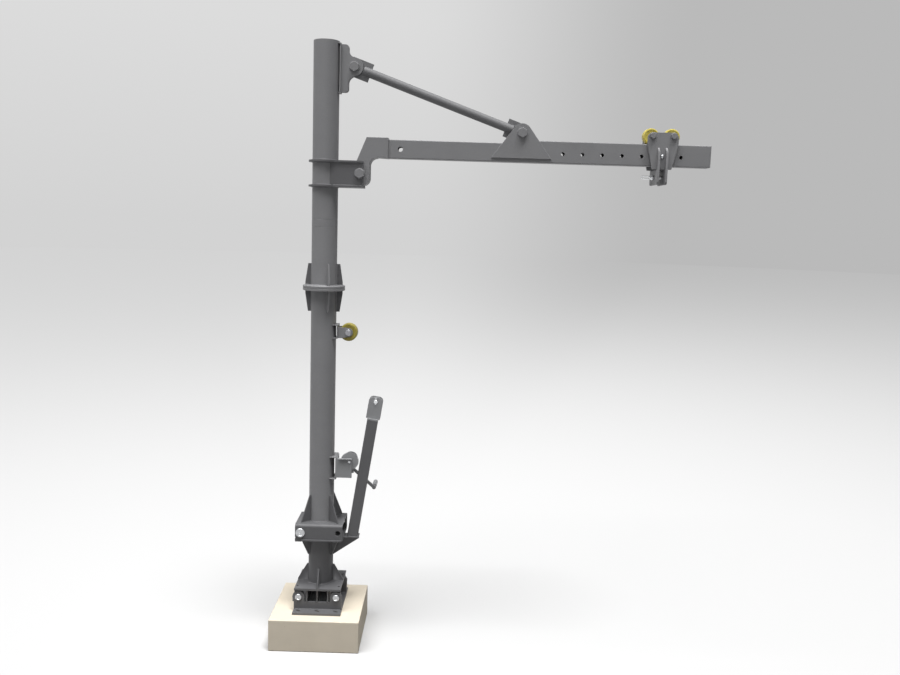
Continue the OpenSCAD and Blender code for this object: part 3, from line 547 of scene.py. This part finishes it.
# The hanger pin: a shank with a collar, and a wire pull that stands out to the left.
low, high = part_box("hanger_pin")
shank_end, pull_end = high.x, low.x
level = (low.z + high.z) / 2
pin_r, wire, pull_half = 0.008, 0.0028, 0.0068
collar_x = shank_end - 0.078
bend_x = pull_end + wire + pull_half
piece(gather(
    turned([(0, 0), (0.0065, 0), (0.0065, 0.008), (0.012, 0.008), (0.013, 0.009),
            (0.013, 0.017), (0.012, 0.018), (pin_r, 0.018), (pin_r, 0.0835),
            (pin_r - 0.0015, 0.086), (0, 0.086)], (collar_x - 0.008, 0, level), (1, 0, 0)),
    rod((bend_x - 0.001, 0, level + pull_half), (collar_x + 0.001, 0, level + pull_half), wire),
    rod((bend_x - 0.001, 0, level - pull_half), (collar_x + 0.001, 0, level - pull_half), wire),
    wire_bend((bend_x, 0, level), pull_half, wire)),
    "hanger_pin_with_pull", "trolley", "zinc_plated_steel", ["hanger_pin"], bright_zinc)

# Spring plungers seated in the trolley's plates, in line with the rail's lock holes.
lock = next(m for m in frame["record"]["mounts"] if m["name"] == "rail_lock_hole")["pos_m"]
trolley_mid = middle("trolley_plates").x
for side in (-1, 1):
    piece(turned([(0, 0), (0.0095, 0), (0.0095, 0.0145), (0.0075, 0.0165), (0.0040, 0.0175),
                  (0, 0.0178)], (trolley_mid, side * 0.052, lock[2]), (0, side, 0), 32),
          "lock_plunger_" + ("front" if side < 0 else "back"), "trolley", "zinc_plated_steel")


# ---- rollers ----

def roller(node, bore, hub, cast):
    """A cast roller with a crowned, rounded rim, a shallow dish in each side and a steel
    bush that runs on the bolt."""
    low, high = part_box(node)
    centre = (low + high) / 2
    rim = (high.x - low.x) / 2
    half = (high.y - low.y) / 2
    outline = [(hub, -half + 0.003), (hub + 0.004, -half + 0.002), (rim * 0.74, -half + 0.0015),
               (rim * 0.80, -half), (rim - 0.006, -half), (rim - 0.0018, -half + 0.0018),
               (rim, -half + 0.006), (rim, half - 0.006), (rim - 0.0018, half - 0.0018),
               (rim - 0.006, half), (rim * 0.80, half), (rim * 0.74, half - 0.0015),
               (hub + 0.004, half - 0.002), (hub, half - 0.003)]
    piece(turned(outline, centre, INWARD, 96), node + "_tyre", BODY_OF[node], "polyurethane",
          [node], cast)
    sleeve = [(bore, -half), (hub - 0.001, -half), (hub, -half + 0.001), (hub, half - 0.001),
              (hub - 0.001, half), (bore, half)]
    piece(turned(sleeve, centre, INWARD), node + "_bush", BODY_OF[node], "zinc_plated_steel")


AXLE_BORE = AXLE_R + 0.00005
roller("guide_roller", AXLE_BORE, 0.017, darker_polyurethane)
roller("left_trolley_roller", AXLE_BORE, 0.016, polyurethane)
roller("right_trolley_roller", AXLE_BORE, 0.016, polyurethane)


# ---- winch fittings ----

# The ends of the drum's axle, seen in the frame's side plates.
axle = middle("winch_drum")
for side in (-1, 1):
    face = side * (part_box("winch_drum")[1].y - 0.0052)
    piece(turned([(0, 0), (0.0076, 0), (0.0076, 0.0046), (0.0066, 0.0060), (0.0040, 0.0068),
                  (0, 0.0070)], (axle.x, face, axle.z), (0, side, 0), 32),
          "drum_axle_end_" + ("front" if side < 0 else "back"), "drum", "zinc_plated_steel")

# The crank's grip, a turned sleeve with a slight waist, and the nut on its shaft.
CRANK_REACH, CRANK_DROP = 0.184, math.radians(41.2)
NUT_SEAT = 0.086             # the outer face of the crank's boss, from the mast's axis
crank_axis = next(j["pos_m"] for j in frame["joints"] if j["name"] == "crank_turn")
grip_x = crank_axis[0] + CRANK_REACH * math.cos(CRANK_DROP)
grip_z = crank_axis[2] - CRANK_REACH * math.sin(CRANK_DROP)
grip_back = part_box("winch_crank")[1].y
nut_seat = (crank_axis[0], NUT_SEAT, crank_axis[2])
piece(turned([(0, 0.0005), (0.0105, 0.0005), (0.0126, 0.0024), (0.0130, -0.010), (0.0124, -0.024),
              (0.0130, -0.040), (0.0124, -0.056), (0.0130, -0.068), (0.0124, -0.0755),
              (0.0108, -0.0772), (0.0065, -0.0772), (0.0065, -0.0600), (0, -0.0600)],
             (grip_x, grip_back, grip_z), INWARD, 32),
      "crank_grip", "crank", "light_painted_steel")
piece(gather(turned(disc(0.0135, 0, 0.0025, 0.0006), nut_seat, INWARD),
             hexagon(0.019, 0.0025, 0.0125, nut_seat, INWARD)),
      "crank_nut", "crank", "zinc_plated_steel")


# ---- flanges ----

mast_r = (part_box("lower_mast_tube")[1].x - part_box("lower_mast_tube")[0].x) / 2
FLANGE_T = 0.014
FLANGE_GUSSETS = (0, 65, 180, 295)
GUSSET_REACH, GUSSET_HEIGHT, GUSSET_NOSE = 0.103, 0.118, 0.018
GUSSET_HALF = 0.004          # half a gusset's thickness


def gusset_plate(angle, side, z):
    """A flange's gusset on a plate at z that leans on the mast, its edges eased. Side is 1
    for a gusset that stands up and -1 for one that hangs down."""
    plate = bmesh.new()
    face = plate.faces.new([plate.verts.new((x, -GUSSET_HALF, z + side * h)) for x, h in (
        (mast_r, 0), (GUSSET_REACH, 0), (GUSSET_REACH, GUSSET_NOSE),
        (mast_r + GUSSET_NOSE, GUSSET_HEIGHT), (mast_r, GUSSET_HEIGHT))])
    grown = bmesh.ops.extrude_face_region(plate, geom=[face])
    bmesh.ops.translate(plate, vec=(0, 2 * GUSSET_HALF, 0),
                        verts=[v for v in grown["geom"] if isinstance(v, bmesh.types.BMVert)])
    bmesh.ops.recalc_face_normals(plate, faces=plate.faces)
    bmesh.ops.bevel(plate, geom=plate.edges[:], offset=0.0012, segments=2, profile=0.5,
                    affect="EDGES", material=-1)
    bmesh.ops.rotate(plate, cent=(0, 0, 0), matrix=Matrix.Rotation(math.radians(angle), 3, "Z"),
                     verts=plate.verts)
    return plate


low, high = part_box("lower_flange")
flange_r, joint_z = (high.x - low.x) / 2, high.z
for node, side in (("lower_flange", -1), ("upper_flange", 1)):
    piece(turned(disc(flange_r, 0, FLANGE_T, 0.0022, mast_r), (0, 0, joint_z), (0, 0, side), 96),
          node + "_ring", "mast", "painted_steel", [node])
    # The gussets at 0 and 180 degrees, whose flat faces turn to the front, wear the dark coat as painted shade;
    # the turned ones at 65 and 295 wear the grey coat
    for group, slot, angles in (("side", "dark_painted_steel", FLANGE_GUSSETS[::2]),
                                ("turned", "painted_steel", FLANGE_GUSSETS[1::2])):
        piece(gather(*[gusset_plate(angle, side, joint_z + side * FLANGE_T)
                       for angle in angles]), node + "_gussets_" + group, "mast", slot)


# ---- weld beads ----

BEAD = 0.0032                # radius of a straight bead, half of it buried in the corner
RING_BEAD = 0.005            # leg of the fillet weld round the mast


def ring_bead(z, side):
    """A fillet weld round the mast on a plate face at height z, above it or below it."""
    outline = [(-0.2, -0.2), (1, -0.2), (0.92, 0.3), (0.6, 0.65), (0.25, 0.95), (-0.2, 1)]
    return turned([(mast_r + RING_BEAD * out, side * RING_BEAD * h) for out, h in outline],
                  (0, 0, z), UP, 64)


def gusset_beads(angles, reach, height, z):
    """The beads along both sides of gussets: on the plate at z and up or down the mast."""
    runs = []
    for angle in angles:
        turn = Matrix.Rotation(math.radians(angle), 3, "Z")
        for side in (-GUSSET_HALF, GUSSET_HALF):
            corner = turn @ Vector((mast_r, side, z))
            runs += bead(corner, turn @ Vector((reach, side, z)))
            runs += bead(corner, turn @ Vector((mast_r, side, z + height)))
    return runs


def bead(*points):
    """A straight bead from each point to the next."""
    return [rod(a, b, BEAD, 8) for a, b in zip(points, points[1:])]


def both_sides(x0, x1, y, z):
    """Two beads along the arm's direction, at y and at -y."""
    return bead((x0, y, z), (x1, y, z)) + bead((x0, -y, z), (x1, -y, z))


# The stub: its foot plate and head plate, the foot bracket's webs, the head's lugs, the
# pole bracket's knee and the pole's foot.
foot_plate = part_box("stub_tube")[0].z
head_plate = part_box("stub_tube")[1].z
base_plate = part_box("foot_bracket")[0].z + 0.012
lug_foot = head_plate + 0.008
WEB_FRONT, WEB_BACK = 0.124, 0.112     # the faces of the foot bracket's webs, from the middle
LUG_FACE = 0.090                       # the inner faces of the head's lugs
KNEE_HALF = 0.005                      # half the thickness of the pole bracket's knee
knee_low, knee_high = head_plate - 0.114, head_plate - 0.010
low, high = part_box("gin_pole")
pole_x0, pole_x1, pole_y = low.x, low.x + 0.0606, high.y
piece(gather(
    ring_bead(foot_plate, 1), ring_bead(head_plate, -1),
    *gusset_beads((0, 90, 180, 270), 0.128, 0.093, foot_plate),
    *gusset_beads((28, 152, 208, 332), 0.120, -0.102, head_plate),
    *both_sides(-0.126, 0.132, WEB_BACK, base_plate),
    *both_sides(-0.126, 0.132, WEB_FRONT, base_plate),
    *both_sides(-0.124, 0.130, LUG_FACE, lug_foot),
    *bead((mast_r, -KNEE_HALF, knee_low), (mast_r, -KNEE_HALF, knee_high)),
    *bead((mast_r, KNEE_HALF, knee_low), (mast_r, KNEE_HALF, knee_high)),
    *bead((pole_x0, -pole_y, head_plate), (pole_x1, -pole_y, head_plate),
          (pole_x1, pole_y, head_plate), (pole_x0, pole_y, head_plate),
          (pole_x0, -pole_y, head_plate))),
    "stub_welds", "base", "dark_painted_steel")

mast_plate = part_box("lower_mast_tube")[0].z
piece(gather(
    ring_bead(mast_plate, 1), *gusset_beads((-40, 40), 0.136, 0.146, mast_plate),
    *gusset_beads((-140, 140), 0.128, 0.146, mast_plate)),
    "mast_foot_welds", "mast", "dark_painted_steel")

flange_low, flange_high = joint_z - FLANGE_T, joint_z + FLANGE_T
reach, height = GUSSET_REACH - 0.002, GUSSET_HEIGHT - 0.004
piece(gather(
    ring_bead(flange_low, -1), ring_bead(flange_high, 1),
    *gusset_beads(FLANGE_GUSSETS, reach, -height, flange_low),
    *gusset_beads(FLANGE_GUSSETS, reach, height, flange_high)),
    "flange_welds", "mast", "painted_steel")

COLLAR_PLATE_T = 0.010
CHEEK_FACE = 0.062           # the outer faces of the collar's cheeks, from the middle
low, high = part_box("arm_collar")
inner_faces = (low.z + COLLAR_PLATE_T, high.z - COLLAR_PLATE_T)
piece(gather(
    ring_bead(low.z, -1), ring_bead(inner_faces[0], 1), ring_bead(inner_faces[1], -1),
    ring_bead(high.z, 1),
    *[run for z in inner_faces for run in both_sides(0.050, high.x - 0.003, CHEEK_FACE, z)]),
    "collar_welds", "boom", "dark_painted_steel")

low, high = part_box("arm_inner_section")
weld_y, weld_low = high.y - 0.004, low.z + 0.002
piece(gather(*bead((low.x, -weld_y, weld_low), (low.x, weld_y, weld_low), (low.x, weld_y, high.z),
                   (low.x, -weld_y, high.z), (low.x, -weld_y, weld_low))),
      "arm_root_weld", "boom", "painted_steel")


# ---- studio ----

def soft_light(name, turn, height, level, spread):
    """A far, wide softbox: turn degrees round from the front towards the arm's end and
    height degrees up. At level 1 alone it shows a colour that faces it as written."""
    box = bpy.data.lights.new(name, "SUN")
    box.energy = level * math.pi
    box.angle = math.radians(spread)
    stand = bpy.data.objects.new(name, box)
    a, e = math.radians(turn), math.radians(height)
    toward = Vector((math.sin(a) * math.cos(e), -math.cos(a) * math.cos(e), math.sin(e)))
    stand.matrix_world = upon((0, 0, 0), toward)
    scene.collection.objects.link(stand)


soft_light("overhead_left", -46, 65, 0.76, 40)
soft_light("overhead_right", 46, 74, 0.75, 18)
soft_light("front", 0, 26, 0.045, 14)

FLOOR_R = 60.0
floor_shape = bmesh.new()
bmesh.ops.create_circle(floor_shape, cap_ends=True, segments=96, radius=FLOOR_R)
floor_mesh = bpy.data.meshes.new("studio_floor")
floor_shape.to_mesh(floor_mesh)
floor_shape.free()
floor = bpy.data.objects.new("studio_floor", floor_mesh)
scene.collection.objects.link(floor)
floor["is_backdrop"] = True


def backdrop_tone(tree, outward):
    """The backdrop's grey by the direction outward from the davit: paler to the left."""
    aim = add(tree, "VectorMath", {0: outward}, operation="NORMALIZE")
    part = add(tree, "SeparateXYZ", {0: aim.outputs["Vector"]})
    right = add(tree, "MapRange", {"Value": part.outputs["X"], "From Min": -0.06,
                                   "From Max": 0.26}, interpolation_type="SMOOTHSTEP")
    lift = add(tree, "MapRange", {"Value": part.outputs["Z"], "From Min": 0.0,
                                  "From Max": 0.22})
    pale = add(tree, "Mix", {0: lift.outputs["Result"], 6: linear("#D3D3D3"),
                             7: linear("#DCDCDC")}, data_type="RGBA")
    grey = add(tree, "Mix", {0: right.outputs["Result"], 6: pale.outputs[MIXED],
                             7: linear("#BABABA")}, data_type="RGBA")
    return grey.outputs[MIXED]


def seen_directly(tree):
    """1 for camera, glossy and transmission rays."""
    path = add(tree, "LightPath")
    first = add(tree, "Math", {0: path.outputs["Is Camera Ray"], 1: path.outputs["Is Glossy Ray"]},
                operation="MAXIMUM")
    return add(tree, "Math", {0: first.outputs["Value"],
                              1: path.outputs["Is Transmission Ray"]},
               operation="MAXIMUM").outputs["Value"]


world = bpy.data.worlds.new("studio")
scene.world = world
world.use_nodes = True
tree = world.node_tree
dome = tree.nodes["Background"]
dome.inputs["Color"].default_value = (1, 1, 1, 1)
dome.inputs["Strength"].default_value = 0.07
outward = add(tree, "TexCoord").outputs["Generated"]
seen = add(tree, "Background", {"Color": backdrop_tone(tree, outward), "Strength": 1.0})
both = add(tree, "MixShader", {0: seen_directly(tree), 1: dome.outputs[0], 2: seen.outputs[0]})
tree.links.new(both.outputs[0], tree.nodes["World Output"].inputs["Surface"])

# Matt paper: white near the davit, and the backdrop's grey far away.
paper = bpy.data.materials.new("studio_paper")
paper.use_nodes = True
tree = paper.node_tree
tree.nodes.remove(tree.nodes["Principled BSDF"])
place = add(tree, "TexCoord").outputs["Object"]
# Metres out to where the paper is half the backdrop's grey, on the left and on the right
HALFWAY_LEFT, HALFWAY_RIGHT = 6.9, 11.0
aim = add(tree, "VectorMath", {0: place}, operation="NORMALIZE")
sideways = add(tree, "SeparateXYZ", {0: aim.outputs["Vector"]})
halfway = add(tree, "MapRange", {"Value": sideways.outputs["X"], "From Min": -0.3,
                                 "From Max": 0.3, "To Min": HALFWAY_LEFT ** 2,
                                 "To Max": HALFWAY_RIGHT ** 2})
squared = add(tree, "VectorMath", {0: place, 1: place}, operation="DOT_PRODUCT")
beyond = add(tree, "Math", {0: squared.outputs["Value"], 1: halfway.outputs["Result"]},
             operation="ADD")
fade = add(tree, "Math", {0: squared.outputs["Value"], 1: beyond.outputs["Value"]},
           operation="DIVIDE")
white = add(tree, "BsdfDiffuse", {"Color": linear("#D7D7D7")})
dim = add(tree, "BsdfDiffuse", {"Color": linear("#4E4E4E")})
near = add(tree, "MixShader", {0: seen_directly(tree), 1: dim.outputs[0], 2: white.outputs[0]})
far = add(tree, "Emission", {"Color": backdrop_tone(tree, place)})
whole = add(tree, "MixShader", {0: fade.outputs["Value"], 1: near.outputs[0], 2: far.outputs[0]})
tree.links.new(whole.outputs[0], tree.nodes["Material Output"].inputs["Surface"])
floor_mesh.materials.append(paper)

scene.view_settings.view_transform = "Standard"

low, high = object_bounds()
